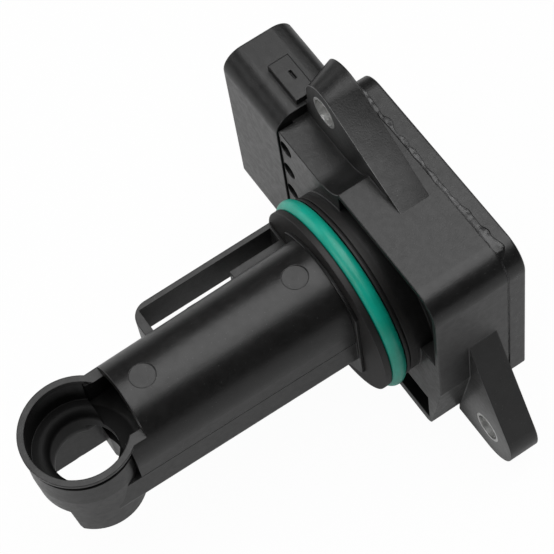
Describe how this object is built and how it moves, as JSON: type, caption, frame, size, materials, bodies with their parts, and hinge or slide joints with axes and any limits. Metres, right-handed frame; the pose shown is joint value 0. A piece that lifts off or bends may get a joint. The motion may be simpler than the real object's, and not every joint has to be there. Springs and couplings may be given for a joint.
{
  "type": "mass airflow sensor",
  "caption": "Plug-in mass airflow sensor: a round sealed spigot carries a half-round probe with a flow ring at its tip, behind it a flat electronics box with two screw ears and a side plug socket.",
  "frame": {"origin": "axis of the round spigot, in the plane of the two screw ears that seats on the duct", "axes": "-Y along the spigot towards the probe's tip, +Z the way the half-round side of the probe faces, -X towards the plug"},
  "size_m": [0.0717, 0.0811, 0.0581],
  "materials": {
    "housing_plastic": "satin moulded, near-black",
    "lid_plastic": "satin moulded, near-black",
    "adhesive": "glossy, cured",
    "seal": "smooth, slightly glossy",
    "bush_metal": "turned and plated",
    "probe_plastic": "satin moulded, near-black",
    "bead_epoxy": "dipped epoxy",
    "lead_wire": "tinned",
    "board_ceramic": "fired ceramic",
    "chip_resin": "moulded resin",
    "capacitor_ceramic": "fired ceramic",
    "gel": "soft clear silicone",
    "bond_aluminium": "drawn wire",
    "post_metal": "nickel plated",
    "element_platinum": "wound and glazed",
    "blade_tin": "tin plated"
  },
  "bodies": {
    "root": {"board_gel": "gel", "bond_wires": "bond_aluminium", "bush_lower": "bush_metal", "bush_upper": "bush_metal", "bypass_base": "probe_plastic", "bypass_cover": "probe_plastic", "capacitors": "capacitor_ceramic", "circuit_board": "board_ceramic", "cold_wire": "element_platinum", "hot_wire": "element_platinum", "housing": "housing_plastic", "lid": "lid_plastic", "lid_adhesive": "adhesive", "o_ring": "seal", "sensing_posts": "post_metal", "signal_chip": "chip_resin", "terminal_1": "blade_tin", "terminal_2": "blade_tin", "terminal_3": "blade_tin", "terminal_4": "blade_tin", "terminal_5": "blade_tin", "thermistor_bead": "bead_epoxy", "thermistor_lead_lower": "lead_wire", "thermistor_lead_upper": "lead_wire"}
  },
  "joints": []
}
